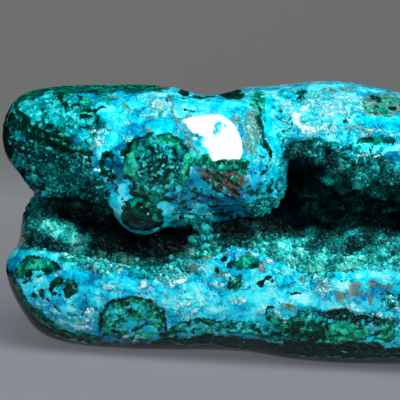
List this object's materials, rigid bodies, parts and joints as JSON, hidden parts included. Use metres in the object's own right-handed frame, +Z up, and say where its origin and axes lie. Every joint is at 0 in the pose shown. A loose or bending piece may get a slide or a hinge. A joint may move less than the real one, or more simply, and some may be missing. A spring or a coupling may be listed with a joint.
{
  "type": "chrysocolla mineral specimen",
  "caption": "Polished freeform of chrysocolla and malachite with a deep druse-lined hollow across its face, resting on a base worn flat.",
  "frame": {"origin": "the middle of the bounding box's footprint, on the surface that the stone rests on", "axes": "+X along the stone's length, to the right when looking at the hollow; +Y from the hollowed face to the back; +Z up"},
  "size_m": [0.0966, 0.0404, 0.0498],
  "materials": {
    "stone": "polished blue and green stone with darker rings and cream crackle",
    "druse_crust": "fine sparkling teal druse, nearly black where it is deep"
  },
  "bodies": {
    "root": {"stone": "stone", "druse_crust": "druse_crust"}
  },
  "joints": []
}
